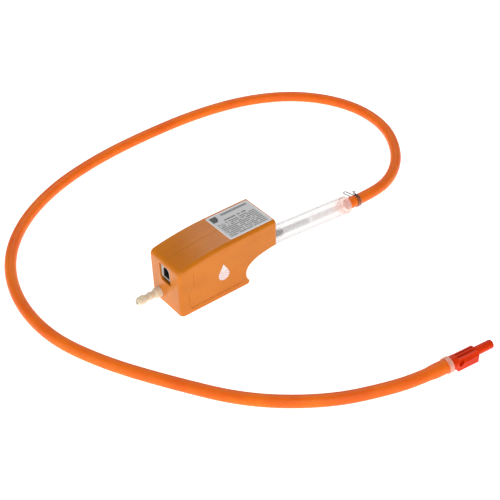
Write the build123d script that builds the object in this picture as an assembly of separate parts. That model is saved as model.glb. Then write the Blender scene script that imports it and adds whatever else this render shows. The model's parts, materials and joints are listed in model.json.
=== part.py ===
from build123d import *
import math
import os

# A small condensate pump: an oscillating-piston solenoid pump in a two-part moulded
# housing, with a clear in-line chamber, a soft suction hose and an end coupling.
# Millimetres. +X runs from the discharge barb to the hose, +Z is up, and the
# housing stands on z = 0. Distances written "from the front" are measured along +X
# from the housing's front face.

# ---- driving dimensions -------------------------------------------------------
HOUSING_LENGTH = 97.5
HOUSING_WIDTH = 40.8
HOUSING_TOP = 50.8
FRONT_TOP = 44.8            # top of the front face before its edge is rounded
REAR_BOTTOM = 26.4          # underside of the overhanging rear end
HEEL_LENGTH = 66.3          # flat base, from the front
WALL = 2.0
SEAM_GAP = 0.06             # between the two housing shells
EDGE_ROUND = 1.8
NEAR_EDGE_ROUND = 3.5       # upright front edge on the -Y side
FAR_EDGE_ROUND = 1.5
TOP_FRONT_ROUND = 5.0

BARB_REACH = 22.5           # discharge barb, ahead of the front face
CHAMBER_REACH = 195.0       # far end of the clear chamber's axis, from the front
CHAMBER_R, CHAMBER_BORE_R, PLUG_R = 9.0, 7.73, 7.7
INNER_TUBE_R = 2.8
CHAMBER_PIVOT = 85.0        # where the rubber sleeve bends, from the front
CHAMBER_TURN = -4.8         # degrees about Z
CHAMBER_END = (CHAMBER_REACH - CHAMBER_PIVOT) / math.cos(math.radians(CHAMBER_TURN))
RIM_REACH = CHAMBER_REACH + CHAMBER_R * math.sin(math.radians(-CHAMBER_TURN))
FRONT_X = (BARB_REACH - RIM_REACH) / 2     # centres barb tip and chamber rim on x = 0
HALF_WIDTH = HOUSING_WIDTH / 2

# The pump's axis, the barb's axis and the inlet spigot's axis.
PUMP_Y, PUMP_Z = -3.0, 32.5
BARB_Y, BARB_Z = 10.4, 7.6
INLET_Y, INLET_Z = 11.2, 9.1

STROKE_CLEARANCE = 0.07     # armature in its guide tube, on the radius
ARMATURE_R = 4.03
NOSE_R = 2.5
FLOW_R = 1.4                # passages inside the heads
BARB_BORE_R = 1.75
NIPPLE_R = 2.5
SLEEVE_BORE_R = 2.53

COIL_R = 11.2
COIL_FLANGE_R = 11.8
COIL_FRONT, COIL_REAR = 28.65, 59.35
YOKE_THICKNESS = 1.6
YOKE_HALF_WIDTH = 9.0

HOSE_R, HOSE_BORE_R = 5.0, 3.0
CLAMP_WIRE_R = 0.45
CLAMP_DISTANCE = 11.2       # from the chamber's end, along the hose

COUPLING_AT = (30.5, -195.3, 6.6)
COUPLING_TURN = -6.2        # degrees about Z

# The hose lies on the ground in one loose loop. These are the corners of its route.
HOSE_ROUTE = [
    (108.37, 1.96, 9.1),
    (134.3, -0.22, 9.1),
    (171.0, 10.0, 5.05),
    (206.0, 37.0, 5.05),
    (232.0, 82.0, 5.05),
    (233.0, 135.0, 5.05),
    (205.0, 183.0, 5.05),
    (158.0, 211.0, 5.05),
    (102.0, 222.0, 5.05),
    (42.0, 222.0, 5.05),
    (-20.0, 216.0, 5.05),
    (-78.0, 200.0, 5.05),
    (-127.0, 171.0, 5.05),
    (-163.0, 130.0, 5.05),
    (-182.0, 78.0, 5.05),
    (-183.0, 22.0, 5.05),
    (-165.0, -29.0, 5.05),
    (-137.0, -79.0, 5.05),
    (-104.0, -130.0, 5.05),
    (-59.0, -167.0, 5.05),
    (-16.0, -185.5, 5.5),
    (10.6, -193.15, 6.6),
    COUPLING_AT,
]

PARTS = "parts"
os.makedirs(PARTS, exist_ok=True)


# ---- helpers ------------------------------------------------------------------
def ring(start, end, outer, inner=0.0):
    """A round bar or tube along +X from start to end."""
    middle = Pos((start + end) / 2, 0, 0) * Rot(0, 90, 0)
    solid = middle * Cylinder(outer, end - start)
    if inner > 0:
        solid -= middle * Cylinder(inner, end - start + 2)
    return solid


def bore(start, end, radius):
    """A plain bar to cut a hole along +X."""
    return ring(start, end, radius)


def turned(*outline):
    """A body turned about X from a closed outline of (distance, radius) points."""
    return revolve(make_face(Polyline(*outline, close=True)), axis=Axis.X)


def upright(along, across, bottom, top, radius):
    """A vertical round bar."""
    return Pos(along, across, (bottom + top) / 2) * Cylinder(radius, top - bottom)


def crosswise(along, start, end, height, radius):
    """A round bar along Y."""
    return Pos(along, (start + end) / 2, height) * Rot(90, 0, 0) * Cylinder(radius, end - start)


def block(x0, x1, y0, y1, z0, z1):
    """A box between two corners."""
    return Pos((x0 + x1) / 2, (y0 + y1) / 2, (z0 + z1) / 2) * Box(x1 - x0, y1 - y0, z1 - z0)


def coil_spring(start, end, mean_radius, wire_radius, turns):
    """A compression spring along +X, from wire edge to wire edge."""
    length = end - start - 2 * wire_radius
    path = Helix(pitch=length / turns, height=length, radius=mean_radius)
    section = Plane(origin=path @ 0, z_dir=path % 0) * Circle(wire_radius)
    coil = sweep(section, path=path, is_frenet=True)
    return Pos(start + wire_radius, 0, 0) * Rot(0, 90, 0) * coil


def tube_along(path, outer, inner):
    """A hollow tube, or a solid one when inner is 0."""
    profile = Circle(outer) - Circle(inner) if inner > 0 else Circle(outer)
    return sweep(Plane(origin=path @ 0, z_dir=path % 0) * profile, path=path)


def arc_radii(route, share=0.45):
    """The largest arc that each corner's two runs allow."""
    points = [Vector(*point) for point in route]
    radii = []
    for before, corner, after in zip(points, points[1:], points[2:]):
        turn = math.radians((corner - before).get_angle(after - corner))
        shorter = min((corner - before).length, (after - corner).length)
        radii.append(share * shorter / math.tan(turn / 2))
    return radii


def from_front(shape):
    return Pos(FRONT_X, 0, 0) * shape


def on_pump_axis(shape):
    return Pos(FRONT_X, PUMP_Y, PUMP_Z) * shape


def on_barb_axis(shape):
    return Pos(FRONT_X, BARB_Y, BARB_Z) * shape


def on_inlet_axis(shape):
    return Pos(FRONT_X, INLET_Y, INLET_Z) * shape


def on_chamber_axis(shape):
    """Distances run from the bend in the rubber sleeve, along the chamber."""
    place = Location((FRONT_X + CHAMBER_PIVOT, INLET_Y, INLET_Z), (0, 0, CHAMBER_TURN))
    return place * shape


def on_coupling_axis(shape):
    """Distances run from the hose's end, towards the spigot's tip."""
    return Location(COUPLING_AT, (0, 0, COUPLING_TURN)) * shape


def save(name, *solids):
    whole = Compound(children=[solid for shape in solids for solid in shape.solids()])
    export_step(whole, os.path.join(PARTS, name + ".step"))


# ---- housing ------------------------------------------------------------------
THROAT_TOP = (67.9, 18.0)
OVERHANG_START = (80.5, 23.9)
CROWN_START = 58.0          # where the sloping top becomes level, from the front


def side_outline():
    """The housing seen from its side: flat base, heel, throat, overhang, crowned top."""
    with BuildSketch(Plane.XZ) as sketch:
        with BuildLine():
            Line((0, 0), (HEEL_LENGTH, 0))
            ThreePointArc((HEEL_LENGTH, 0), (67.9, 1.7), (67.3, 4.2))
            ThreePointArc((67.3, 4.2), (65.05, 11.3), THROAT_TOP)
            ThreePointArc(THROAT_TOP, (73.4, 21.5), OVERHANG_START)
            ThreePointArc(OVERHANG_START, (89.0, 25.4), (HOUSING_LENGTH, REAR_BOTTOM))
            Line((HOUSING_LENGTH, REAR_BOTTOM), (HOUSING_LENGTH, HOUSING_TOP))
            Line((HOUSING_LENGTH, HOUSING_TOP), (CROWN_START, HOUSING_TOP))
            ThreePointArc((CROWN_START, HOUSING_TOP), (28.0, 49.3), (0, FRONT_TOP))
            Line((0, FRONT_TOP), (0, 0))
        make_face()
        corners = sketch.vertices().sort_by_distance((0, FRONT_TOP, 0))
        fillet(corners[0], TOP_FRONT_ROUND)
    return sketch.sketch


def housing_block():
    """The solid outside of the housing, with its edges rounded."""
    solid = extrude(side_outline(), amount=HALF_WIDTH, both=True)
    for side, radius in ((0, NEAR_EDGE_ROUND), (-1, FAR_EDGE_ROUND)):
        front_edges = solid.edges().filter_by(Axis.Z).sort_by(Axis.X)[:2]
        solid = fillet(front_edges.sort_by(Axis.Y)[side], radius)
    rear_edges = solid.edges().filter_by(Axis.Z).sort_by(Axis.X)[-2:]
    top_edges = [
        edge
        for edge in solid.edges()
        if abs(abs(edge.center().Y) - HALF_WIDTH) < 0.01
        and edge.center().Z > HOUSING_TOP - 6
        and edge.length > 20
    ]
    return fillet(list(rear_edges) + top_edges, EDGE_ROUND)


BOSS_PLACES = [(7.0, 18.5), (34.0, 8.0), (89.0, 38.0)]
BOSS_R, PIN_R, PIN_HOLE_R = 2.5, 1.25, 1.32
PIN_REACH = 4.0
RIBS = [(22.5, 24.5, 12.55), (69.0, 71.0, 9.1)]     # start, end, radius of the cradle
WIRE_NOTCH = (22.0, 25.0, -17.0, -13.0, 41.4, 44.9)
LEDGE = (2.0, 11.8, 1.5, 23.4, 24.95)               # start, end, width, bottom, top
SOCKET_OPENING = (-7.0, 7.4, 23.3, 39.8)            # y and z limits in the front face


def socket_opening():
    """The hole in the front face, with one lower corner cut off."""
    y0, y1, z0, z1 = SOCKET_OPENING
    outline = Polyline((y0, z0), (y1 - 1.6, z0), (y1, z0 + 4.0), (y1, z1), (y0, z1), close=True)
    return Pos(-1, 0, 0) * extrude(Plane.YZ * make_face(outline), amount=WALL + 2)


def panel_lines(side):
    """The fine engraved lines on one side, as cutters 0.25 mm deep."""
    depth, width = 0.25, 0.5
    face = side * HALF_WIDTH
    y0, y1 = sorted((face - side * depth, face + side))
    upright_line = block(13.1, 13.1 + width, y0, y1, 25.5, 38.8)
    corner_line = block(7.8, 7.8 + width, y0, y1, 8.2, 22.2)
    base_line = block(11.3, 60.0, y0, y1, 5.0, 5.0 + width)
    bend = Pos(11.4, face, 8.6) * Rot(90, 0, 0) * (
        Cylinder(3.6, 2 * depth) - Cylinder(3.6 - width, 2 * depth)
    )
    bend = bend & block(7.0, 11.4, y0 - 1, y1 + 1, 4.0, 8.6)
    dimples = [crosswise(u, y0, y1, z, 0.45) for u, z in ((61.7, 29.7), (80.8, 42.9))]
    return [upright_line, corner_line, base_line, bend] + dimples


def grip_bars(side):
    """A plain row of low raised bars near the base."""
    face = side * HALF_WIDTH
    y0, y1 = sorted((face - 0.3 * side, face + 0.2 * side))
    return [block(10.0 + 4.1 * i, 12.6 + 4.1 * i, y0, y1, 1.9, 4.1) for i in range(12)]


def housing_shells():
    outside = housing_block()
    cavity = extrude(offset(side_outline(), amount=-WALL), amount=HALF_WIDTH - WALL, both=True)
    shell = outside - cavity
    for start, end, cradle in RIBS:
        rib = cavity & block(start, end, -HALF_WIDTH, HALF_WIDTH, 0, HOUSING_TOP)
        rib -= Pos(0, PUMP_Y, PUMP_Z) * bore(start - 1, end + 1, cradle)
        shell += rib
    shell -= block(*WIRE_NOTCH)
    for u, z in BOSS_PLACES:
        shell += crosswise(u, WALL - HALF_WIDTH - 0.5, HALF_WIDTH - WALL + 0.5, z, BOSS_R)
    start, end, width, bottom, top = LEDGE
    for side in (-1, 1):
        edge = side * (HALF_WIDTH - WALL)
        y0, y1 = sorted((edge - side * width, edge + side * 0.5))
        shell += block(start - 0.5, end, y0, y1, bottom, top)
        for bar in grip_bars(side):
            shell += bar
        for cutter in panel_lines(side):
            shell -= cutter
    shell -= socket_opening()
    shell -= Pos(0, BARB_Y, BARB_Z) * bore(-1, 2.5, 4.25)
    shell -= Pos(0, INLET_Y, INLET_Z) * bore(62.0, 70.0, 5.3)
    half = SEAM_GAP / 2
    far = block(-50, 150, half, 40, -10, 80)
    near = block(-50, 150, -40, -half, -10, 80)
    left, right = shell & far, shell & near
    for u, z in BOSS_PLACES:
        left += crosswise(u, -PIN_REACH, half + 0.5, z, PIN_R)
        right -= crosswise(u, -PIN_REACH - 0.5, 0.5, z, PIN_HOLE_R)
    save("left_housing_shell", from_front(left))
    save("right_housing_shell", from_front(right))


def data_label():
    """A thin plate label on the rear half of the top."""
    label = block(53.0, 95.4, -17.5, 17.5, HOUSING_TOP + 0.01, HOUSING_TOP + 0.16)
    label = fillet(label.edges().filter_by(Axis.Z), 1.5)
    save("data_label", from_front(label))


def side_badge():
    """A drop-shaped badge on the near side: a round belly under a pointed top."""
    centre_u, centre_z, belly = 42.8, 22.2, 5.3
    lean = math.acos(belly / 10.6)
    reach = (belly * math.sin(lean), belly * math.cos(lean))
    with BuildSketch(Plane.XZ) as sketch:
        with BuildLine():
            top = (centre_u, centre_z + 10.6)
            right = (centre_u + reach[0], centre_z + reach[1])
            left = (centre_u - reach[0], centre_z + reach[1])
            Line(top, right)
            ThreePointArc(right, (centre_u, centre_z - belly), left)
            Line(left, top)
        make_face()
    badge = Pos(0, -HALF_WIDTH - 0.01, 0) * extrude(sketch.sketch, amount=0.15)
    save("side_badge", from_front(badge))


# ---- discharge side -----------------------------------------------------------
OUTLET_U = 15.5             # the vertical passage to the barb, from the front


def discharge_barb():
    body = turned(
        (-BARB_REACH, 0), (-BARB_REACH, 2.3), (-21.6, 3.1), (-19.6, 3.75), (-17.0, 3.95), (-15.3, 3.95),
        (-15.0, 3.1), (-11.6, 3.1), (-10.1, 3.65), (-9.6, 3.65), (-9.2, 3.2), (-5.6, 3.2),
        (-5.2, 4.2), (-4.8, 4.5), (-0.06, 4.5), (-0.06, 4.15), (3.02, 4.15), (3.02, 5.6),
        (5.0, 5.6), (5.0, 3.2), (18.9, 3.2), (18.9, 0),
    )
    body -= bore(-BARB_REACH - 1, OUTLET_U, BARB_BORE_R)
    body += upright(OUTLET_U, 0, 0, 7.2, NIPPLE_R)
    body -= upright(OUTLET_U, 0, 0, 8.0, FLOW_R)
    save("discharge_barb", on_barb_axis(body))
    save("barb_gasket", on_barb_axis(ring(2.02, 3.0, 5.5, 4.2)))


def outlet_link_sleeve():
    sleeve = upright(OUTLET_U, BARB_Y, 11.3, 21.5, 3.8)
    sleeve -= upright(OUTLET_U, BARB_Y, 10.0, 23.0, SLEEVE_BORE_R)
    save("outlet_link_sleeve", from_front(sleeve))


def outlet_head():
    """Valve chamber in front, cylinder seat behind, and a passage down to the sleeve."""
    offset_y = BARB_Y - PUMP_Y
    head = ring(12.2, 26.9, 8.5)
    head += block(12.2, 18.8, 0, offset_y + 3.4, -5.0, 4.5)
    head += upright(OUTLET_U, offset_y, -16.0, -4.0, NIPPLE_R)
    head -= bore(13.7, 18.5, 3.5)
    head -= bore(17.8, 27.5, 4.52)
    head -= crosswise(OUTLET_U, 0, offset_y, 0, FLOW_R)
    head -= upright(OUTLET_U, offset_y, -17.0, 0, FLOW_R)
    save("outlet_head", on_pump_axis(head))


def outlet_valve():
    save("outlet_valve_seat", on_pump_axis(ring(17.82, 19.2, 4.5, 1.0)))
    poppet = turned((14.6, 0), (14.6, 0.75), (16.75, 0.75), (16.75, 2.2), (17.78, 2.2), (17.78, 0))
    save("outlet_valve", on_pump_axis(poppet))
    save("outlet_valve_spring", on_pump_axis(coil_spring(13.72, 16.73, 1.35, 0.18, 4)))


# ---- pump unit ----------------------------------------------------------------
def pump_cylinder():
    save("pump_cylinder", on_pump_axis(ring(19.22, 25.4, 4.5, 2.6)))
    save("piston_seal", on_pump_axis(ring(25.42, 26.88, 4.48, NOSE_R + 0.06)))
    save("spring_washer", on_pump_axis(ring(26.92, 27.28, 4.7, 2.75)))


def piston():
    """A steel armature with a narrow nose, bored through for the water."""
    nose_tip, shoulder, rear = 23.4, 38.0, 58.0
    body = turned(
        (nose_tip, 0), (nose_tip, NOSE_R), (shoulder, NOSE_R),
        (shoulder, ARMATURE_R), (rear, ARMATURE_R), (rear, 0),
    )
    body -= bore(nose_tip - 1, rear, 0.9)
    body -= bore(nose_tip + 1.2, rear + 1, FLOW_R)
    save("piston", on_pump_axis(body))


def piston_valve():
    poppet = turned(
        (22.55, 0), (22.55, 1.9), (23.37, 1.9), (23.37, 0.5),
        (27.0, 0.5), (27.0, 1.1), (27.6, 1.1), (27.6, 0),
    )
    save("piston_valve", on_pump_axis(poppet))
    save("piston_valve_spring", on_pump_axis(coil_spring(24.62, 26.98, 0.85, 0.14, 4)))


def springs():
    save("return_spring", on_pump_axis(coil_spring(27.3, 37.98, 3.3, 0.3, 7)))
    save("buffer_spring", on_pump_axis(coil_spring(58.02, 67.48, 3.3, 0.3, 6)))


def guide_tube():
    guide_bore = ARMATURE_R + STROKE_CLEARANCE
    save("guide_tube", on_pump_axis(ring(27.3, 62.5, 4.75, guide_bore)))
    save("front_pole_ring", on_pump_axis(ring(COIL_FRONT, COIL_FRONT + 9, 5.9, 4.78)))
    save("rear_pole_ring", on_pump_axis(ring(COIL_REAR - 9, COIL_REAR, 5.9, 4.78)))


def coil():
    """Bobbin with a terminal lug, its winding and the tape around it."""
    cheek = 1.5
    bobbin = ring(COIL_FRONT, COIL_REAR, 6.8)
    bobbin += ring(COIL_FRONT, COIL_FRONT + cheek, COIL_FLANGE_R)
    bobbin += ring(COIL_REAR - cheek, COIL_REAR, COIL_FLANGE_R)
    bobbin += block(COIL_FRONT, COIL_FRONT + cheek, -13.6, -5.0, 5.0, 11.9)
    bobbin -= bore(COIL_FRONT - 1, COIL_REAR + 1, 5.95)
    save("coil_bobbin", on_pump_axis(bobbin))
    start, end = COIL_FRONT + cheek + 0.02, COIL_REAR - cheek - 0.02
    save("copper_winding", on_pump_axis(ring(start, end, COIL_R - 0.2, 6.83)))
    save("winding_tape", on_pump_axis(ring(start, end, COIL_R, COIL_R - 0.17)))


def yoke():
    """A U of sheet steel around the coil and a flat plate that closes it."""
    front, rear = COIL_FRONT - 0.05, COIL_REAR + 0.05
    inside, reach = COIL_FLANGE_R + 0.2, YOKE_HALF_WIDTH
    outside = inside + YOKE_THICKNESS
    bracket = block(front - YOKE_THICKNESS, rear + YOKE_THICKNESS, -reach, reach, -outside, inside)
    bracket -= block(front, rear, -reach - 1, reach + 1, -inside, inside + 1)
    bracket -= bore(front - 5, rear + 5, 4.78)
    save("yoke_bracket", on_pump_axis(bracket))
    plate = block(
        front - YOKE_THICKNESS, rear + YOKE_THICKNESS, -reach, reach,
        inside + 0.01, outside,
    )
    save("yoke_top_plate", on_pump_axis(plate))


# ---- suction side -------------------------------------------------------------
INLET_U = 65.0              # the vertical passage in the inlet head, from the front
SPIGOT_U = 57.0             # the inlet spigot's own upright nipple


def inlet_head():
    offset_y = INLET_Y - PUMP_Y
    head = ring(61.05, 72.6, 6.5)
    head += block(61.05, 67.5, 0, offset_y + 3.4, -3.5, 3.5)
    head += upright(INLET_U, offset_y, -7.1, -3.0, NIPPLE_R)
    head -= bore(60.0, 62.55, 4.78)
    head -= bore(62.0, 67.5, 4.1)
    head -= crosswise(INLET_U, 0, offset_y, 0, FLOW_R)
    head -= upright(INLET_U, offset_y, -8.0, 0, FLOW_R)
    save("inlet_head", on_pump_axis(head))


def inlet_link_tube():
    """A soft moulded tube that steps back from the spigot's nipple to the head."""
    route = [
        (FRONT_X + SPIGOT_U, INLET_Y, 12.8),
        (FRONT_X + SPIGOT_U, INLET_Y, 18.0),
        (FRONT_X + INLET_U, INLET_Y, 22.7),
        (FRONT_X + INLET_U, INLET_Y, 28.9),
    ]
    path = FilletPolyline(*route, radius=4.5)
    save("inlet_link_tube", tube_along(path, 3.6, SLEEVE_BORE_R))


def inlet_spigot():
    body = turned(
        (52.6, 0), (52.6, 3.2), (60.6, 3.2), (60.6, 5.6), (62.6, 5.6), (62.6, 4.1),
        (71.0, 4.1), (71.0, 2.7), (76.4, 2.7), (77.2, 3.0), (77.6, 2.7), (79.4, 2.7),
        (80.2, 3.0), (81.0, 2.6), (81.0, 0),
    )
    body -= bore(SPIGOT_U, 82.0, BARB_BORE_R)
    body += upright(SPIGOT_U, 0, 0, 6.2, NIPPLE_R)
    body -= upright(SPIGOT_U, 0, 0, 7.5, FLOW_R)
    save("inlet_spigot", on_inlet_axis(body))
    save("inlet_grommet", on_inlet_axis(ring(62.65, 68.2, 5.2, 4.15)))


# ---- soft mounts --------------------------------------------------------------
def rubber_mounts():
    """Grooved rings that hang the pump unit in the housing's cradle ribs."""
    front = ring(20.5, 26.5, 13.4, 8.55)
    front -= ring(22.4, 24.6, 16.0, 12.4)
    save("front_rubber_mount", on_pump_axis(front))
    rear = ring(67.6, 72.5, 8.95, 6.55)
    save("rear_rubber_mount", on_pump_axis(rear))


# ---- supply socket and electrics ----------------------------------------------
def supply_socket():
    """A white header with an arched cavity, its pins and the small board below it."""
    header = block(1.2, 11.4, -6.6, 6.9, 26.45, 39.6)
    cavity = block(0, 9.6, -4.3, 3.9, 27.6, 33.8)
    cavity += Pos(0, -0.2, 33.8) * bore(0, 9.6, 4.1)
    header -= cavity
    pins = [block(4.0, 11.9, y - 0.4, y + 0.4, 31.6, 32.4) for y in (-2.8, -0.2, 2.4)]
    for pin in pins:
        header -= pin
    save("socket_header", from_front(header))
    save("contact_pins", *[from_front(pin) for pin in pins])
    board = block(2.3, 11.7, -17.8, 17.8, 25.0, 26.4)
    save("circuit_board", from_front(board))


def board_parts():
    diode = Pos(0, -12.0, 28.0) * ring(4.0, 8.6, 1.35)
    diode += Pos(0, -12.0, 28.0) * ring(2.9, 9.7, 0.35)
    diode += upright(3.1, -12.0, 26.45, 28.3, 0.35)
    diode += upright(9.5, -12.0, 26.45, 28.3, 0.35)
    save("rectifier_diode", from_front(diode))
    disc = Pos(0, 12.0, 31.6) * ring(5.4, 8.4, 3.6)
    disc += upright(6.2, 10.2, 26.45, 30.0, 0.35)
    disc += upright(7.6, 13.8, 26.45, 30.0, 0.35)
    save("surge_limiter", from_front(disc))


def lead_wires():
    """Two insulated wires from the board to the lug on the coil."""
    wires = []
    for y, height in ((-15.9, 42.4), (-14.3, 43.8)):
        route = [
            (FRONT_X + 10.2, y, 26.45),
            (FRONT_X + 10.2, y, height),
            (FRONT_X + COIL_FRONT - 0.02, y, height),
        ]
        wires.append(tube_along(FilletPolyline(*route, radius=5.0), 0.55, 0))
    save("lead_wires", *wires)


# ---- chamber ------------------------------------------------------------------
def coupling_sleeve():
    """The rubber sleeve that joins the inlet spigot to the chamber."""
    turn = math.radians(CHAMBER_TURN)
    reach = 18.8
    route = [
        (FRONT_X + 71.05, INLET_Y, INLET_Z),
        (FRONT_X + CHAMBER_PIVOT, INLET_Y, INLET_Z),
        (
            FRONT_X + CHAMBER_PIVOT + reach * math.cos(turn),
            INLET_Y + reach * math.sin(turn),
            INLET_Z,
        ),
    ]
    path = FilletPolyline(*route, radius=90.0)
    save("coupling_sleeve", tube_along(path, 5.6, 3.05))


def chamber():
    """A clear tube with a plug in each end; their inner tubes face across a short gap."""
    tube = ring(22.05, CHAMBER_END, CHAMBER_R, CHAMBER_BORE_R)
    save("chamber_tube", on_chamber_axis(tube))
    pump_plug = turned(
        (5.0, 0), (5.0, 2.6), (5.8, 3.0), (6.4, 2.7), (18.9, 2.7), (18.9, CHAMBER_R),
        (22.0, CHAMBER_R), (22.0, PLUG_R), (28.0, PLUG_R), (28.6, PLUG_R - 0.6), (28.6, 4.6),
        (39.8, 4.2), (40.2, 3.8), (40.2, 0),
    )
    pump_plug -= bore(4, 42, BARB_BORE_R)
    pump_plug -= bore(34.0, 42, INNER_TUBE_R + 0.03)
    save("chamber_pump_plug", on_chamber_axis(pump_plug))
    save("pump_side_tube", on_chamber_axis(ring(34.02, 69.5, INNER_TUBE_R, BARB_BORE_R)))
    end = CHAMBER_END
    groove = PLUG_R - 0.5
    hose_plug = turned(
        (72.1, 0), (72.1, INNER_TUBE_R), (end - 10.6, INNER_TUBE_R), (end - 5.2, PLUG_R - 0.8),
        (end - 4.2, PLUG_R), (end - 3.4, PLUG_R), (end - 3.4, groove), (end - 2.8, groove),
        (end - 2.8, PLUG_R), (end - 1.9, PLUG_R), (end - 1.9, groove), (end - 1.3, groove),
        (end - 1.3, PLUG_R), (end - 0.02, PLUG_R), (end - 0.02, 2.95), (end + 12.6, 2.95),
        (end + 13.4, 2.5), (end + 13.4, 0),
    )
    hose_plug -= bore(71, end + 15, BARB_BORE_R)
    save("chamber_hose_plug", on_chamber_axis(hose_plug))


# ---- hose and what is on it ---------------------------------------------------
def suction_hose():
    radii = arc_radii(HOSE_ROUTE)
    path = FilletPolyline(*HOSE_ROUTE, radius=radii)
    tube = tube_along(path, HOSE_R, HOSE_BORE_R)
    area = math.pi * (HOSE_R**2 - HOSE_BORE_R**2)
    print("hose radii", [round(radius) for radius in radii])
    print("hose length", round(path.length, 1))
    print("hose volume over section times length", round(tube.volume / (area * path.length), 5))
    save("suction_hose", tube)


def clamp_wire(*corners, bend=None):
    """A stretch of clamp wire with slightly swollen ends, straight or bent at its corners."""
    if bend is None:
        path = Line(*corners)
    else:
        path = FilletPolyline(*corners, radius=bend)
    wire = tube_along(path, CLAMP_WIRE_R, 0)
    knob = CLAMP_WIRE_R + 0.04
    return wire + Pos(path @ 0) * Sphere(knob) + Pos(path @ 1) * Sphere(knob)


def hose_clamp():
    """A spring clamp: two wires wind round the hose from their short ends, over the top and
    under it, to one closed ear that stands out on the far side and leans to the chamber."""
    ring_r = HOSE_R + CLAMP_WIRE_R + 0.06
    ear_x, end_x = 1.75, 0.7
    ear_angle, end_angle = 372.0, 62.0
    sweep_angle = ear_angle - end_angle
    drift = ear_x - end_x
    ear_reach, ear_lean = 8.0, -4.2

    def on_ring(angle, along, lift=0.0):
        turn = math.radians(angle)
        return (along, (ring_r + lift) * math.cos(turn), (ring_r + lift) * math.sin(turn))

    clamp = None
    overlap = 1.01              # runs each wire a little into the ear
    for side in (-1, 1):
        helix = Helix(
            pitch=drift * 360 / sweep_angle, height=drift * overlap, radius=ring_r,
            direction=(side, 0, 0), lefthand=side < 0,
        )
        section = Plane(origin=helix @ 0, z_dir=helix % 0) * Circle(CLAMP_WIRE_R)
        loop = Pos(side * end_x, 0, 0) * sweep(section, path=helix, is_frenet=True)
        start = helix @ 0
        start_angle = math.degrees(math.atan2(start.Z, start.Y))
        loop = Rot(end_angle - start_angle, 0, 0) * loop
        end = clamp_wire(on_ring(end_angle, side * end_x), on_ring(end_angle - 6, side * end_x, 3.2))
        clamp = loop + end if clamp is None else clamp + loop + end
    ear = clamp_wire(
        on_ring(ear_angle, -ear_x),
        on_ring(ear_angle, -ear_x + ear_lean, ear_reach),
        on_ring(ear_angle, ear_x + ear_lean, ear_reach),
        on_ring(ear_angle, ear_x),
        bend=1.2,
    )
    along = CHAMBER_END + CLAMP_DISTANCE
    save("hose_clamp", on_chamber_axis(Pos(along, 0, 0) * (clamp + ear)))


def end_coupling():
    """Insert in the hose, translucent ring, windowed body and the spigot tube in it."""
    insert = turned(
        (-14.0, 0), (-14.0, 2.5), (-13.2, 2.95), (0.02, 2.95), (0.02, 3.2), (7.9, 3.2), (7.9, 0),
    )
    insert -= bore(-15, 9, BARB_BORE_R)
    save("coupling_insert", on_coupling_axis(insert))
    save("coupling_ring", on_coupling_axis(ring(0.05, 3.55, 6.5, 3.25)))

    section = Polyline(
        (-5.4, -6.0), (5.4, -6.0), (5.4, 0.4), (3.4, 3.4), (-3.4, 3.4), (-5.4, 0.4), close=True,
    )
    body = ring(3.6, 9.2, 5.7)
    body += ring(8.6, 28.2, 4.3)
    body += Pos(8.6, 0, 0) * extrude(Plane.YZ * make_face(section), amount=19.6)
    for across in (-2.8, 0, 2.8):
        body += block(9.4, 27.0, across - 0.6, across + 0.6, 2.0, 5.3 - 0.7 * abs(across) / 2.8)
    window = block(9.0, 11.2, -8.0, 0, -1.5, 3.1)
    window += Pos(11.2, -4.0, 0.8) * Rot(90, 0, 0) * Cylinder(2.3, 8.0)
    body -= bore(3.0, 8.0, 3.25)
    body -= bore(8.0, 29.0, 3.35)
    body -= window
    save("coupling_body", on_coupling_axis(body))
    spigot = turned(
        (8.1, 0), (8.1, 3.3), (28.5, 3.3), (28.5, 3.6), (43.6, 3.6), (44.3, 3.3), (44.5, 2.8),
        (44.5, 0),
    )
    spigot -= bore(8.0, 46.0, 2.2)
    save("coupling_spigot", on_coupling_axis(spigot))


housing_shells()
data_label()
side_badge()
discharge_barb()
outlet_link_sleeve()
outlet_head()
outlet_valve()
pump_cylinder()
piston()
piston_valve()
springs()
guide_tube()
coil()
yoke()
inlet_head()
inlet_link_tube()
inlet_spigot()
rubber_mounts()
supply_socket()
board_parts()
lead_wires()
coupling_sleeve()
chamber()
suction_hose()
hose_clamp()
end_coupling()
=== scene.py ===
import json
import math

import bmesh
import bpy
import numpy as np
from mathutils import Matrix, Vector

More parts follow.
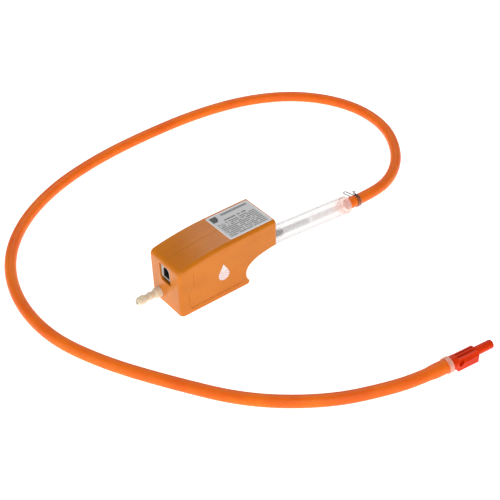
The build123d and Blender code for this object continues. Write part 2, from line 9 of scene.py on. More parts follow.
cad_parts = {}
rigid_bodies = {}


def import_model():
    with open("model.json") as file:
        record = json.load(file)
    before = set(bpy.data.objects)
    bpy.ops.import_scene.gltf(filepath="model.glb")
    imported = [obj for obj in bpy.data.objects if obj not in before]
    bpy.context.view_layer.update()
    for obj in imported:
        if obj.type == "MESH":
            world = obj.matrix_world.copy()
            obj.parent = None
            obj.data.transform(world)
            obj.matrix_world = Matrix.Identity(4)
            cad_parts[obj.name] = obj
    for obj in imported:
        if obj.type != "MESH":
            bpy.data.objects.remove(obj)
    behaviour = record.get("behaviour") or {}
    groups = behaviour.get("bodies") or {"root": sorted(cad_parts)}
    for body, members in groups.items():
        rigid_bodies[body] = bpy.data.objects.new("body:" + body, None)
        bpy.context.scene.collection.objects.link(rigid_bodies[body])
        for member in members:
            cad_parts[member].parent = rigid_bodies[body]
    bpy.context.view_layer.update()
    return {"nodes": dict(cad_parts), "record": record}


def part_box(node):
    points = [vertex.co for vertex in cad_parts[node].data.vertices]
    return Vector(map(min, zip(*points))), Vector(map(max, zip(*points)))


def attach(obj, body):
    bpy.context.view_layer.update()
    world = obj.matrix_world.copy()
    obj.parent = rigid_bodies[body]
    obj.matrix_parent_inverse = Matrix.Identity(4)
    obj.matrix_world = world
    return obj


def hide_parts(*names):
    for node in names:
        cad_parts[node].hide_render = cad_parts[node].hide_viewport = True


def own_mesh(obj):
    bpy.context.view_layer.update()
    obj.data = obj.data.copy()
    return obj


# A small condensate pump with its clear chamber, suction hose and end coupling.
# Metres, in the CAD's frame: +X runs from the discharge barb to the hose, +Z is up.

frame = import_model()
nodes = frame["nodes"]
MM = 0.001

# ---- camera -------------------------------------------------------------------
AZIMUTH, ELEVATION, ROLL = -36.517, 38.286, -1.897      # degrees
TARGET = Vector((8.54, 14.13, 0)) * MM
DISTANCE = 910.1 * MM
LENS, SENSOR = 75.99, 36.0                              # mm
NEAREST, FARTHEST = 0.01, 20.0                          # metres that the camera sees


def place_camera():
    """The camera looks at TARGET from DISTANCE, turned about its own line of sight by ROLL."""
    turn, rise, roll = (math.radians(angle) for angle in (AZIMUTH, ELEVATION, ROLL))
    back = Vector((math.sin(turn) * math.cos(rise), -math.cos(turn) * math.cos(rise), math.sin(rise)))
    level = Vector((math.cos(turn), math.sin(turn), 0))
    upward = back.cross(level)
    right = level * math.cos(roll) + upward * math.sin(roll)
    up = upward * math.cos(roll) - level * math.sin(roll)
    data = bpy.data.cameras.new("camera")
    data.lens, data.sensor_width = LENS, SENSOR
    data.clip_start, data.clip_end = NEAREST, FARTHEST
    camera = bpy.data.objects.new("camera", data)
    axes = Matrix((right, up, back)).transposed().to_4x4()
    camera.matrix_world = Matrix.Translation(TARGET + back * DISTANCE) @ axes
    bpy.context.scene.collection.objects.link(camera)
    bpy.context.scene.camera = camera


# ---- shader arithmetic --------------------------------------------------------
class Field:
    """A number that varies over a surface. Arithmetic on it adds Math nodes."""

    def __init__(self, finish, socket):
        self.finish, self.socket = finish, socket

    def math(self, operation, *others):
        return self.finish.node("ShaderNodeMath", {"operation": operation}, (self, *others))

    def __add__(self, other):
        return self.math("ADD", other)

    __radd__ = __add__

    def __mul__(self, other):
        return self.math("MULTIPLY", other)

    __rmul__ = __mul__

    def __sub__(self, other):
        return self.math("SUBTRACT", other)

    def __rsub__(self, other):
        return self * -1 + other

    def __truediv__(self, other):
        return self.math("DIVIDE", other)

    def __pow__(self, other):
        return self.math("POWER", other)

    def __gt__(self, other):
        return self.math("GREATER_THAN", other)

    def __lt__(self, other):
        return self.math("LESS_THAN", other)

    def __mod__(self, other):
        return self.math("FLOORED_MODULO", other)

    def __abs__(self):
        return self.math("ABSOLUTE")

    def floor(self):
        return self.math("FLOOR")

    def wave(self):
        return self.math("SINE")

    def at_most(self, other):
        return self.math("MINIMUM", other)

    def at_least(self, other):
        return self.math("MAXIMUM", other)

    def ease(self, low, high):
        """0 below low, 1 above high, and smooth between them."""
        settings = {"interpolation_type": "SMOOTHSTEP"}
        return self.finish.node("ShaderNodeMapRange", settings, (self, low, high))

    def between(self, low, high):
        return (self > low) * (self < high)


class Finish:
    """One procedural material, whose patterns are measured in millimetres."""

    def __init__(self, slot):
        self.material = bpy.data.materials.new(slot)
        self.material.use_nodes = True
        self.tree = self.material.node_tree
        self.tree.nodes.clear()
        self.shader = self.tree.nodes.new("ShaderNodeBsdfPrincipled")
        output = self.tree.nodes.new("ShaderNodeOutputMaterial")
        self.tree.links.new(self.shader.outputs[0], output.inputs["Surface"])
        self.objects = None

    def feed(self, socket, value):
        if isinstance(value, Field):
            self.tree.links.new(value.socket, socket)
        elif value is not None:
            socket.default_value = value

    def node(self, kind, settings=None, values=(), output=0):
        """Adds a node: its own settings first, then its sockets by order or by name."""
        made = self.tree.nodes.new(kind)
        for name, value in (settings or {}).items():
            setattr(made, name, value)
        pairs = values.items() if isinstance(values, dict) else enumerate(values)
        for key, value in pairs:
            self.feed(made.inputs[key], value)
        return Field(self, made.outputs[output])

    def place(self, stretch=(1, 1, 1), centre=(0, 0, 0)):
        """The position on the piece in millimetres, from centre, stretched along each axis."""
        if self.objects is None:
            self.objects = self.node("ShaderNodeTexCoord", output="Object")
        scale = tuple(share / MM for share in stretch)
        away = tuple(-share * middle for share, middle in zip(stretch, centre))
        values = {"Vector": self.objects, "Location": away, "Scale": scale}
        return self.node("ShaderNodeMapping", None, values)

    def across(self, centre=(0, 0, 0)):
        """The three coordinates of place, each as a Field."""
        split = self.node("ShaderNodeSeparateXYZ", None, (self.place(centre=centre),))
        sockets = split.socket.node.outputs
        return [Field(self, socket) for socket in sockets]

    def noise(self, per_mm, detail=2.0, stretch=(1, 1, 1), vector=None, roughness=0.5):
        where = self.place(stretch) if vector is None else vector
        values = {"Vector": where, "Scale": per_mm, "Detail": detail, "Roughness": roughness}
        return self.node("ShaderNodeTexNoise", None, values)

    def cells(self, per_mm):
        return self.node("ShaderNodeTexVoronoi", None, {"Vector": self.place(), "Scale": per_mm})

    def mix(self, share, low, high):
        """A colour between low and high."""
        made = self.node("ShaderNodeMix", {"data_type": "RGBA"}, {0: share, 6: low, 7: high})
        return Field(self, made.socket.node.outputs[2])

    def bump(self, height, depth_mm, strength):
        values = {"Height": height, "Distance": depth_mm * MM, "Strength": strength}
        return self.node("ShaderNodeBump", None, values)

    def surface(self, **values):
        """Sets the shader's sockets; an underscore in a name stands for a space."""
        for name, value in values.items():
            self.feed(self.shader.inputs[name.replace("_", " ")], value)
        return self.material


def rgb(red, green, blue):
    return (red, green, blue, 1.0)


def soft_light(finish, share, reach_mm, colours=(1.0, 0.5, 0.25)):
    """A little light carried under the surface, as in unfilled plastic. Red, green and blue each go
    their own share of reach_mm."""
    finish.surface(Subsurface_Weight=share, Subsurface_Radius=colours, Subsurface_Scale=reach_mm * MM)


# ---- finishes -----------------------------------------------------------------
# Places along X are in millimetres.
FRONT_X = -86.6                                         # the housing's front face
LABEL_X = -12.4                                         # the label's middle
INK_HALF_LENGTH, INK_HALF_WIDTH = 20.4, 16.7            # the label inside its pale rim
CONE_START, CONE_END = 90.0, 101.0                      # where the plug at the hose turns pink


def moulded(slot, deep, pale, roughness, grain=1.6, glow=0.0, coat=0.0):
    """Moulded plastic: faint flow clouds, a fine grain and a few polished spots."""
    finish = Finish(slot)
    cloud = finish.noise(0.045, detail=3)
    flow = finish.noise(0.12, detail=2, stretch=(0.35, 1, 1))
    fine = finish.noise(grain, detail=3)
    rub = finish.noise(0.4, detail=4).ease(0.56, 0.72)
    colour = finish.mix((cloud * 0.6 + flow * 0.4).ease(0.3, 0.7), rgb(*deep), rgb(*pale))
    if glow:
        soft_light(finish, glow, 1.2)
    return finish.surface(
        Base_Color=colour,
        Roughness=roughness + fine * 0.08 - rub * 0.06,
        Coat_Weight=coat,
        Coat_Roughness=0.12,
        Normal=finish.bump(fine * 0.7 + flow * 0.3, 0.015, 0.5),
    )


def housing_plastic():
    """Orange moulded shells: satin grain, faint scuffs and a darker, sunken line where they meet."""
    finish = Finish("housing_plastic")
    cloud = finish.noise(0.03, detail=3)
    flow = finish.noise(0.09, detail=3, stretch=(0.3, 1, 1))
    grain = finish.noise(2.6, detail=3, roughness=0.6)
    scuff = finish.noise(0.5, detail=5, stretch=(0.5, 1.5, 1)).ease(0.60, 0.74)
    tone = (cloud * 0.5 + flow * 0.5).ease(0.32, 0.68)
    colour = finish.mix(tone, rgb(0.610, 0.175, 0.0050), rgb(0.670, 0.205, 0.0075))
    colour = finish.mix(scuff * 0.08, colour, rgb(0.70, 0.24, 0.025))
    y = finish.across()[1]
    seam = 1 - abs(y).ease(0.05, 0.28)                  # the shells meet at y = 0
    colour = finish.mix(seam * 0.45, colour, rgb(0.30, 0.06, 0.004))
    soft_light(finish, 0.10, 1.5, (1.0, 0.35, 0.08))
    return finish.surface(
        Base_Color=colour,
        Roughness=0.21 + grain * 0.08 + scuff * 0.05,
        Specular_IOR_Level=0.27,
        Normal=finish.bump(grain * 0.012 + flow * 0.003 - seam * 0.10, 1.0, 0.6),
    )


def socket_plastic():
    """Off-white nylon at its front rim, turning dark further in: painted shade in the socket's recess."""
    finish = Finish("socket_nylon")
    depth = finish.across(centre=(FRONT_X, 0, 0))[0]
    fine = finish.noise(1.8, detail=3)
    cloud = finish.noise(0.3, detail=3)
    colour = finish.mix(cloud, rgb(0.50, 0.48, 0.43), rgb(0.62, 0.60, 0.55))
    # Painted shade: the recess turns near black from 0.7 to 2.2 mm in from the front face.
    colour = finish.mix(depth.ease(0.7, 2.2), colour, rgb(0.030, 0.028, 0.028))
    return finish.surface(
        Base_Color=colour, Roughness=0.36 + fine * 0.08, Normal=finish.bump(fine, 0.015, 0.5)
    )


def label_film():
    """Silver-grey film: a pale rim, a dark patch, a row of marks, a heavy row and rows of dashes."""
    finish = Finish("label_film")
    x, y = finish.across(centre=(LABEL_X, 0, 0))[:2]
    brushed = finish.noise(1.2, detail=3, stretch=(0.08, 3, 1))
    base = finish.mix(brushed, rgb(0.505, 0.505, 0.515), rgb(0.580, 0.580, 0.590))
    rim = (abs(x) - INK_HALF_LENGTH).at_least(abs(y) - INK_HALF_WIDTH).ease(0.0, 0.12)
    base = finish.mix(rim, base, rgb(0.80, 0.80, 0.80))

    def dashes(pitch, thickness, word, low, high, left, right, seed):
        """Rows of short dashes, thickness high, that break at random between left and right."""
        row = (y / pitch).floor()
        line = abs(y % pitch - pitch / 2) < thickness / 2
        word_at = finish.node("ShaderNodeCombineXYZ", None, ((x / word).floor(), row, seed))
        chance = finish.node("ShaderNodeTexWhiteNoise", {"noise_dimensions": "3D"}, {"Vector": word_at})
        stroke = abs((x * (4.3 / word)) % 1.0 - 0.5) < 0.36
        return line * (chance > 0.16) * stroke * y.between(low, high) * x.between(left, right)

    small = dashes(2.2, 1.25, 1.25, -15.4, 4.4, -18.4, 18.6, 3.0)
    heavy = dashes(2.6, 1.9, 1.5, 5.2, 7.8, -10.0, 14.0, 5.0)
    marks = dashes(4.0, 2.6, 4.4, 12.0, 16.0, -8.0, 18.0, 8.0)
    patch = x.between(-19.2, -12.8) * (abs(y - 11.6) < 3.7) * ((x + 16.0 - (y - 11.6) * 0.6) < 3.3)
    ink = small.at_least(heavy).at_least(marks * 0.9).at_least(patch)
    wear = finish.noise(1.5, detail=3).ease(0.35, 0.6)
    colour = finish.mix(ink * (wear * 0.15 + 0.85), base, rgb(0.016, 0.016, 0.018))
    return finish.surface(
        Base_Color=colour,
        Metallic=0.15,
        Roughness=0.34 + brushed * 0.12,
        Normal=finish.bump(brushed + ink * 0.5, 0.01, 0.5),
    )


def badge_film():
    """White film with soft red waves over its lower part."""
    finish = Finish("badge_film")
    x, _, z = finish.across()
    ripple = (x * 1.1).wave() * 0.5
    band = ((z + ripple) * 2.6).wave().ease(0.35, 0.7)
    speck = finish.noise(1.0, detail=3)
    colour = finish.mix(band * 0.62 * (z < 26.5), rgb(0.80, 0.76, 0.74), rgb(0.70, 0.15, 0.13))
    colour = finish.mix(speck.ease(0.6, 0.8) * 0.25, colour, rgb(0.62, 0.3, 0.14))
    return finish.surface(
        Base_Color=colour, Roughness=0.30 + speck * 0.1, Normal=finish.bump(band, 0.02, 0.5)
    )


def rubber_like(slot, deep, pale, roughness, sheen=0.0, glow=0.0):
    """Soft rubber: powdery bloom, fine pitting."""
    finish = Finish(slot)
    bloom = finish.noise(0.18, detail=4).ease(0.35, 0.7)
    pits = finish.cells(1.4).ease(0.05, 0.35)
    fine = finish.noise(3.0, detail=2)
    if glow:
        soft_light(finish, glow, 1.5)
    finish.surface(Sheen_Weight=sheen, Sheen_Roughness=0.4)
    return finish.surface(
        Base_Color=finish.mix(bloom, rgb(*deep), rgb(*pale)),
        Roughness=roughness + bloom * 0.08 + fine * 0.05,
        Normal=finish.bump(pits * 0.4 + fine * 0.6, 0.02, 0.5),
    )


def metal(slot, deep, pale, roughness, stretch=(1, 1, 1)):
    """Bare or plated metal: drawing or grinding lines and faint dulled patches."""
    finish = Finish(slot)
    lines = finish.noise(3.0, detail=3, stretch=stretch)
    dull = finish.noise(0.25, detail=4).ease(0.45, 0.75)
    return finish.surface(
        Base_Color=finish.mix(dull * 0.7 + lines * 0.3, rgb(*pale), rgb(*deep)),
        Metallic=1.0,
        Roughness=roughness + dull * 0.14 + lines * 0.06,
        Normal=finish.bump(lines, 0.008, 0.6),
    )


def wound_copper():
    """Enamelled wire laid side by side: fine turns across the coil's axis, one each 0.32 mm, with painted
    shade in the grooves between them.
    """
    finish = Finish("copper")
    x = finish.across()[0]
    turns = abs((x / 0.32) % 1.0 - 0.5)
    shade = finish.noise(0.3, detail=3)
    # Painted shade: darker towards the groove between each two turns; the noise adds random tone.
    colour = finish.mix(turns * 0.8 + shade * 0.4, rgb(0.62, 0.20, 0.055), rgb(0.24, 0.06, 0.015))
    return finish.surface(
        Base_Color=colour,
        Metallic=0.85,
        Roughness=0.28 + shade * 0.1,
        Normal=finish.bump(1 - turns * 2, 0.08, 0.8),
    )


def circuit_laminate():
    """Green solder mask with paler tracks under it, 2.4 mm apart."""
    finish = Finish("board_laminate")
    y = finish.across()[1]
    line = abs((y / 2.4) % 1.0 - 0.5) < 0.16
    tracks = line * finish.noise(0.35, detail=1).ease(0.45, 0.5)
    fine = finish.noise(4.0)
    colour = finish.mix(tracks, rgb(0.012, 0.10, 0.03), rgb(0.05, 0.26, 0.06))
    return finish.surface(
        Base_Color=colour, Roughness=0.30 + fine * 0.1, Normal=finish.bump(tracks, 0.03, 0.6)
    )


def clear(slot, tint, edge_tint, low, high, roughness=0.06, haze=0.0):
    """Thin clear plastic: nearly unseen face on, denser and greyer where it is seen edge on, with a faint
    painted glow in its own colour.
    """
    finish = Finish(slot)
    facing = finish.node("ShaderNodeLayerWeight", None, {"Blend": 0.35}, output="Facing")
    streak = finish.noise(0.5, detail=3, stretch=(0.15, 1, 1))
    fine = finish.noise(2.0)
    cover = low + facing ** 1.6 * (high - low) + (streak - 0.5) * 0.05 + haze * fine
    colour = finish.mix(facing, rgb(*tint), rgb(*edge_tint))
    return finish.surface(
        Base_Color=colour,
        # Painted glow: a faint light given off in the plastic's own colour.
        Emission_Color=colour,
        Emission_Strength=0.04,
        Alpha=cover.at_most(1.0).at_least(0.0),
        Roughness=roughness + streak * 0.05,
        Specular_IOR_Level=0.8,
        Coat_Weight=0.5,
        Coat_Roughness=0.04,
        Normal=finish.bump(streak, 0.01, 0.2),
    )


def tinted_moulding():
    """Clear plastic with a pink cast: faint on the inner tube, strong on the cone and its rings, with a
    painted glow in that colour.
    """
    finish = Finish("tinted_moulding")
    facing = finish.node("ShaderNodeLayerWeight", None, {"Blend": 0.35}, output="Facing")
    x = finish.across()[0]
    cone = x.ease(CONE_START, CONE_END)
    rings = cone * (0.5 + (x * 2.6).wave() * 0.5)
    streak = finish.noise(0.5, detail=3, stretch=(0.15, 1, 1))
    colour = finish.mix(cone, rgb(0.72, 0.63, 0.61), rgb(0.95, 0.60, 0.49))
    colour = finish.mix(facing * 0.6 + rings * 0.2, colour, rgb(0.70, 0.40, 0.34))
    cover = 0.13 + cone * 0.16 + rings * 0.08 + facing ** 1.6 * 0.42 + (streak - 0.5) * 0.05
    return finish.surface(
        Base_Color=colour,
        # Painted glow: the moulding gives off light in its own colour, so it looks lit from within.
        Emission_Color=colour,
        Emission_Strength=0.30,
        Alpha=cover.at_most(1.0).at_least(0.0),
        Roughness=0.08 + streak * 0.05,
        Specular_IOR_Level=0.8,
        Coat_Weight=0.5,
        Coat_Roughness=0.04,
        Normal=finish.bump(streak + rings, 0.01, 0.2),
    )


def hose_skin():
    """Soft orange hose: drawn lines along it, faint mottling, a satin sheen and a few dusty specks.
    Its map holds the reach along the hose in metres and the share of a turn around it."""
    finish = Finish("hose_rubber")
    uv = finish.node("ShaderNodeTexCoord", output="UV")
    split = finish.node("ShaderNodeSeparateXYZ", None, (uv,)).socket.node.outputs
    reach, turn = Field(finish, split[0]), Field(finish, split[1]) * (2 * math.pi)
    around = turn.wave() * 5, (turn + math.pi / 2).wave() * 5
    rolled = finish.node("ShaderNodeCombineXYZ", None, (reach * 20, *around))
    lines = finish.noise(1.2, detail=3, vector=rolled)
    mottle = finish.noise(0.05, detail=4)
    cloud = finish.noise(0.012, detail=2)
    specks = finish.cells(0.35).ease(0.10, 0.02)
    fine = finish.noise(2.2, detail=3)
    tone = (mottle * 0.45 + cloud * 0.35 + lines * 0.2).ease(0.3, 0.72)
    colour = finish.mix(tone, rgb(0.850, 0.118, 0.0008), rgb(0.970, 0.195, 0.0015))
    colour = finish.mix(specks * 0.22, colour, rgb(0.93, 0.42, 0.16))
    soft_light(finish, 0.16, 2.0, (1.0, 0.25, 0.05))
    return finish.surface(
        Base_Color=colour,
        Roughness=0.40 + fine * 0.10 + mottle * 0.05,
        Specular_IOR_Level=0.28,
        Sheen_Weight=0.02,
        Sheen_Roughness=0.35,
        Normal=finish.bump(lines * 0.6 + fine * 0.4, 0.03, 0.55),
    )


def coupling_skin():
    """Glossy red-orange plastic that lets a little light through."""
    finish = Finish("coupling_plastic")
    flow = finish.noise(0.18, detail=3, stretch=(0.4, 1, 1))
    fine = finish.noise(2.4, detail=2)
    soft_light(finish, 0.12, 1.5, (1.0, 0.12, 0.03))
    return finish.surface(
        Base_Color=finish.mix(flow.ease(0.3, 0.7), rgb(0.66, 0.027, 0.0006), rgb(0.76, 0.042, 0.001)),
        Roughness=0.26 + fine * 0.10,
        Specular_IOR_Level=0.12,
        Normal=finish.bump(fine * 0.5 + flow * 0.5, 0.015, 0.5),
    )


FINISHES = {
    "housing_plastic": housing_plastic(),
    "label_film": label_film(),
    "badge_film": badge_film(),
    "nylon": moulded("nylon", (0.72, 0.63, 0.45), (0.82, 0.74, 0.57), 0.34, glow=0.30, coat=0.1),
    "black_rubber": rubber_like(
        "black_rubber", (0.010, 0.010, 0.010), (0.028, 0.027, 0.026), 0.60, sheen=0.15
    ),
    "silicone": rubber_like("silicone", (0.55, 0.55, 0.52), (0.68, 0.68, 0.64), 0.42, glow=0.3),
    "valve_rubber": rubber_like("valve_rubber", (0.02, 0.02, 0.022), (0.05, 0.05, 0.055), 0.5),
    "spring_steel": metal("spring_steel", (0.06, 0.06, 0.07), (0.19, 0.19, 0.20), 0.20, stretch=(4, 1, 1)),
    "bearing_plastic": moulded("bearing_plastic", (0.66, 0.66, 0.61), (0.74, 0.74, 0.70), 0.38, glow=0.15),
    "steel": metal("steel", (0.38, 0.38, 0.39), (0.56, 0.56, 0.57), 0.24, stretch=(5, 0.6, 0.6)),
    "bobbin_plastic": moulded("bobbin_plastic", (0.66, 0.64, 0.57), (0.75, 0.73, 0.66), 0.45, grain=3.0),
    "copper": wound_copper(),
    "tape": rubber_like("tape", (0.62, 0.44, 0.05), (0.72, 0.54, 0.09), 0.3),
    "plated_steel": metal("plated_steel", (0.40, 0.41, 0.43), (0.60, 0.61, 0.64), 0.3, stretch=(0.3, 2, 2)),
    "socket_nylon": socket_plastic(),
    "tinned_contact": metal("tinned_contact", (0.45, 0.45, 0.45), (0.70, 0.70, 0.70), 0.2),
    "board_laminate": circuit_laminate(),
    "component_black": moulded("component_black", (0.010, 0.010, 0.011), (0.022, 0.022, 0.024), 0.45),
    "component_blue": moulded("component_blue", (0.02, 0.06, 0.28), (0.035, 0.09, 0.36), 0.28, coat=0.3),
    "wire_insulation": rubber_like("wire_insulation", (0.30, 0.30, 0.32), (0.42, 0.42, 0.44), 0.4),
    "clear_plastic": clear("clear_plastic", (0.76, 0.75, 0.75), (0.48, 0.45, 0.45), 0.13, 0.64),
    "clear_moulding": clear("clear_moulding", (0.86, 0.85, 0.84), (0.60, 0.59, 0.59), 0.08, 0.55, haze=0.04),
    "frosted_tube": clear(
        "frosted_tube", (0.78, 0.76, 0.75), (0.54, 0.52, 0.52), 0.21, 0.64, roughness=0.2, haze=0.05
    ),
    "tinted_moulding": tinted_moulding(),
    "hose_rubber": hose_skin(),
    "coupling_plastic": coupling_skin(),
    "ring_plastic": moulded("ring_plastic", (0.80, 0.33, 0.24), (0.88, 0.45, 0.35), 0.34, glow=0.5),
}
SLOT_OF = {part["node"]: part["material_slot"] for part in frame["record"]["subparts"]}
BODY_OF = {
    node: body
    for body, members in frame["record"]["behaviour"]["bodies"].items()
    for node in members
}
for name, part in nodes.items():
    for holder in part.material_slots:
        holder.material = FINISHES[SLOT_OF[name]]


# ---- surfaces -----------------------------------------------------------------
def grid_mesh(name, points, around=False, along=False, uv=None):
    """A mesh over a grid of points. Each row closes on itself if around is set, and each column if
    along is set. uv has one more column or row where the grid closes, so that its pattern runs on."""
    rows, columns = points.shape[:2]
    row, column = np.meshgrid(np.arange(rows + along), np.arange(columns + around), indexing="ij")
    index = row % rows * columns + column % columns
    corners = [np.s_[:-1, :-1], np.s_[1:, :-1], np.s_[1:, 1:], np.s_[:-1, 1:]]
    faces = np.stack([index[corner] for corner in corners], axis=-1).reshape(-1, 4)
    mesh = bpy.data.meshes.new(name)
    mesh.from_pydata(points.reshape(-1, 3).tolist(), [], faces.tolist())
    if uv is not None:
        layer = mesh.uv_layers.new(name="UVMap")
        spread = np.stack([uv[corner] for corner in corners], axis=2)
        layer.data.foreach_set("uv", spread.astype(np.float32).ravel())
    mesh.polygons.foreach_set("use_smooth", np.ones(len(mesh.polygons), bool))
    mesh.update()
    return mesh


def add_piece(name, mesh, slot):
    """Links the mesh as a piece with its finish."""
    piece = bpy.data.objects.new(name, mesh)
    bpy.context.scene.collection.objects.link(piece)
    mesh.materials.append(FINISHES[slot])
    return piece


# ---- suction hose -------------------------------------------------------------
# Metres, but for the route, which is written in millimetres.
HOSE_D = 0.010
HOSE_BORE_RADIUS = 0.00302
HOSE_ROUTE = np.array([
    (108.37, 1.96, 9.1), (134.3, -0.22, 9.1), (171, 10, 5.05), (206, 37, 5.05),
    (232, 82, 5.05), (233, 135, 5.05), (205, 183, 5.05), (158, 211, 5.05),
    (102, 222, 5.05), (42, 222, 5.05), (-20, 216, 5.05), (-78, 200, 5.05),
    (-127, 171, 5.05), (-163, 130, 5.05), (-182, 78, 5.05), (-183, 22, 5.05),
    (-165, -29, 5.05), (-137, -79, 5.05), (-104, -130, 5.05), (-59, -167, 5.05),
    (-16, -185.5, 5.5), (10.6, -193.15, 6.6), (30.5, -195.3, 6.6),
]) * MM
ROUTE_STEPS = 22            # steps along each span of the spline
AROUND = 40                 # points around the hose
END_SPAN = 0.03             # the stretch at each end that is divided finely
FINE_STEP, LONG_STEP = 0.0006, 0.003
SWELL_REACH = 0.0135        # how far from each end the hose is swollen by its fitting
NEAR_SWELL, NEAR_FADE = 0.00022, 0.0009         # the rise at the chamber, and how softly it ends
FAR_SWELL, FAR_FADE = 0.00062, 0.0012           # the same at the coupling
CLAMP_AT = 0.0112           # the clamp's place along the hose
WIRE_WIDTH = 0.0011
CLAMP_WIRES = ((-0.0007, 0.00030), (0.0008, 0.00028))       # each wire's place from there, and its pinch
EDGE_REACH = 0.0005         # how far the rounding of the cut ends reaches
OUTER_EDGE, INNER_EDGE = 0.0004, 0.0002


def spline_line(route, steps):
    """The points along one open NURBS spline of order 3, whose control points are the route."""
    curve = bpy.data.curves.new("hose_line", "CURVE")
    curve.dimensions = "3D"
    spline = curve.splines.new("NURBS")
    spline.points.add(len(route) - 1)
    spline.points.foreach_set("co", np.c_[route, np.ones(len(route))].ravel())
    spline.order_u = 3
    spline.use_endpoint_u = True
    spline.resolution_u = steps
    holder = bpy.data.objects.new("hose_line", curve)
    bpy.context.scene.collection.objects.link(holder)
    bpy.context.view_layer.update()
    line = bpy.data.meshes.new_from_object(holder.evaluated_get(bpy.context.evaluated_depsgraph_get()))
    points = np.zeros(len(line.vertices) * 3)
    line.vertices.foreach_get("co", points)
    bpy.data.objects.remove(holder)
    bpy.data.curves.remove(curve)
    return points.reshape(-1, 3)


def across_line(line):
    """The level and the upright direction across a line at each of its points."""
    tangent = np.gradient(line, axis=0)
    tangent /= np.linalg.norm(tangent, axis=1, keepdims=True)
    level = np.cross(tangent, (0.0, 0.0, 1.0))
    level /= np.linalg.norm(level, axis=1, keepdims=True)
    return level, np.cross(level, tangent)


def over_fitting(distance, height, fade):
    """A rise of height as far as SWELL_REACH, falling to nothing past it: a logistic step."""
    return height / (1 + np.exp((distance - SWELL_REACH) / fade))


def at_edge(distance, height):
    """A height at the cut end that dies away exponentially."""
    return height * np.exp(-distance / EDGE_REACH)


def under_wire(distance, centre, depth):
    """A pinch of depth under one wire: a bell curve about its centre."""
    return depth * np.exp(-((distance - centre) / WIRE_WIDTH) ** 2)


def hose_piece():
    """Tube wall: a circle carried along the spline, outside then back inside. Its radius is even,
    with a slight swell on each fitting and a pinch under each wire of the clamp."""
    line = spline_line(HOSE_ROUTE, ROUTE_STEPS)
    run = np.r_[0, np.cumsum(np.linalg.norm(np.diff(line, axis=0), axis=1))]
    end = run[-1]
    reach = np.r_[
        np.arange(0, END_SPAN, FINE_STEP),
        np.arange(END_SPAN, end - END_SPAN, LONG_STEP),
        np.arange(end - END_SPAN, end, FINE_STEP),
        end,
    ]
    centre = np.stack([np.interp(reach, run, line[:, axis]) for axis in range(3)], axis=1)
    level, upright = across_line(centre)
    left = end - reach
    outer = np.full_like(reach, HOSE_D / 2)
    outer += over_fitting(reach, NEAR_SWELL, NEAR_FADE) + over_fitting(left, FAR_SWELL, FAR_FADE)
    for offset, pinch in CLAMP_WIRES:
        outer -= under_wire(reach, CLAMP_AT + offset, pinch)
    outer -= at_edge(reach, OUTER_EDGE) + at_edge(left, OUTER_EDGE)
    inner = HOSE_BORE_RADIUS + at_edge(reach, INNER_EDGE)

    angle = np.linspace(0, 2 * np.pi, AROUND, endpoint=False)[None, :, None]
    circle = np.cos(angle) * level[:, None] + np.sin(angle) * upright[:, None]
    outside = centre[:, None] + circle * outer[:, None, None]
    inside = centre[:, None] + circle * inner[:, None, None]
    wall = np.concatenate([outside, inside[::-1]])
    there_and_back = np.concatenate([reach, reach[::-1], reach[:1]])
    turn = np.linspace(0, 1, AROUND + 1)
    uv = np.stack(np.broadcast_arrays(there_and_back[:, None], turn[None]), axis=-1)
    mesh = grid_mesh("suction_hose_skin", wall, around=True, along=True, uv=uv)
    hose = add_piece("suction_hose_skin", mesh, "hose_rubber")
    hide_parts("suction_hose")
    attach(hose, "housing")


# ---- springs ------------------------------------------------------------------
SAME_POINT = 1e-7           # metres within which two corners of a coil are one


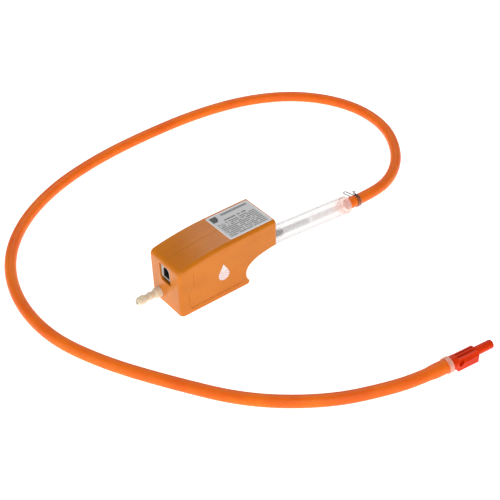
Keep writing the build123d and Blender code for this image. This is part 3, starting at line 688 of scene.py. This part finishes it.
def working_springs():
    """Each spring that a joint presses: its own coil with its corners merged, in place of the CAD node.
    Its least share of length, one less the joint's travel over the coil's length, is worked out but not
    used."""
    for joint in frame["record"]["behaviour"]["joints"]:
        for entry in joint.get("deforming_nodes", []):
            node = entry["node"]
            low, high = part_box(node)
            coil = nodes[node].data.copy()
            shape = bmesh.new()
            shape.from_mesh(coil)
            bmesh.ops.remove_doubles(shape, verts=shape.verts, dist=SAME_POINT)
            shape.to_mesh(coil)
            shape.free()
            coil.materials.clear()
            piece = add_piece(node + "_coil", coil, SLOT_OF[node])
            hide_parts(node)
            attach(piece, BODY_OF[node])
            travel = max(abs(limit) for limit in joint["range_m"])
            keep = 1 - travel / (high[0] - low[0])
            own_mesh(piece)


# ---- floor and light ----------------------------------------------------------
FLOOR_HALF = 6.0
FLOOR_DROP = 0.0002         # the floor lies this far under the base
LIGHTS = {                  # place, width in metres, and watts
    "key_light": ((-0.6, -1.5, 0.9), 1.2, 13.0),
    "fill_light": ((-1.7, 0.2, 0.7), 1.1, 7.5),
    "top_light": ((0.9, 0.9, 1.6), 1.2, 12.0),
}
LIT_POINT = Vector((0, 0, 0.02))


def studio():
    """A pale floor, three round lights that face the pump, and a pale sky."""
    sides = np.array([-FLOOR_HALF, FLOOR_HALF])
    x, y = np.meshgrid(sides, sides, indexing="ij")
    corners = np.stack([x, y, np.full_like(x, -FLOOR_DROP)], axis=-1)
    floor = bpy.data.objects.new("floor", grid_mesh("floor", corners))
    bpy.context.scene.collection.objects.link(floor)
    paper = Finish("floor_paper")
    fibre = paper.noise(0.4, detail=3)
    paper.surface(
        Base_Color=paper.mix(fibre, rgb(0.93, 0.93, 0.93), rgb(0.97, 0.97, 0.97)),
        Roughness=0.9, Emission_Color=rgb(1, 1, 1), Emission_Strength=0.80,
    )
    floor.data.materials.append(paper.material)

    for name, (place, width, watts) in LIGHTS.items():
        data = bpy.data.lights.new(name, "AREA")
        data.shape, data.size, data.energy = "DISK", width, watts
        light = bpy.data.objects.new(name, data)
        light.location = place
        light.rotation_euler = (LIT_POINT - Vector(place)).to_track_quat("-Z", "Y").to_euler()
        bpy.context.scene.collection.objects.link(light)

    world = bpy.data.worlds.new("studio_sky")
    world.use_nodes = True
    sky = world.node_tree.nodes["Background"]
    sky.inputs["Color"].default_value = rgb(1, 1, 1)
    sky.inputs["Strength"].default_value = 0.27
    scene = bpy.context.scene
    scene.world = world
    scene.view_settings.view_transform = "Standard"


place_camera()
hose_piece()
working_springs()
studio()
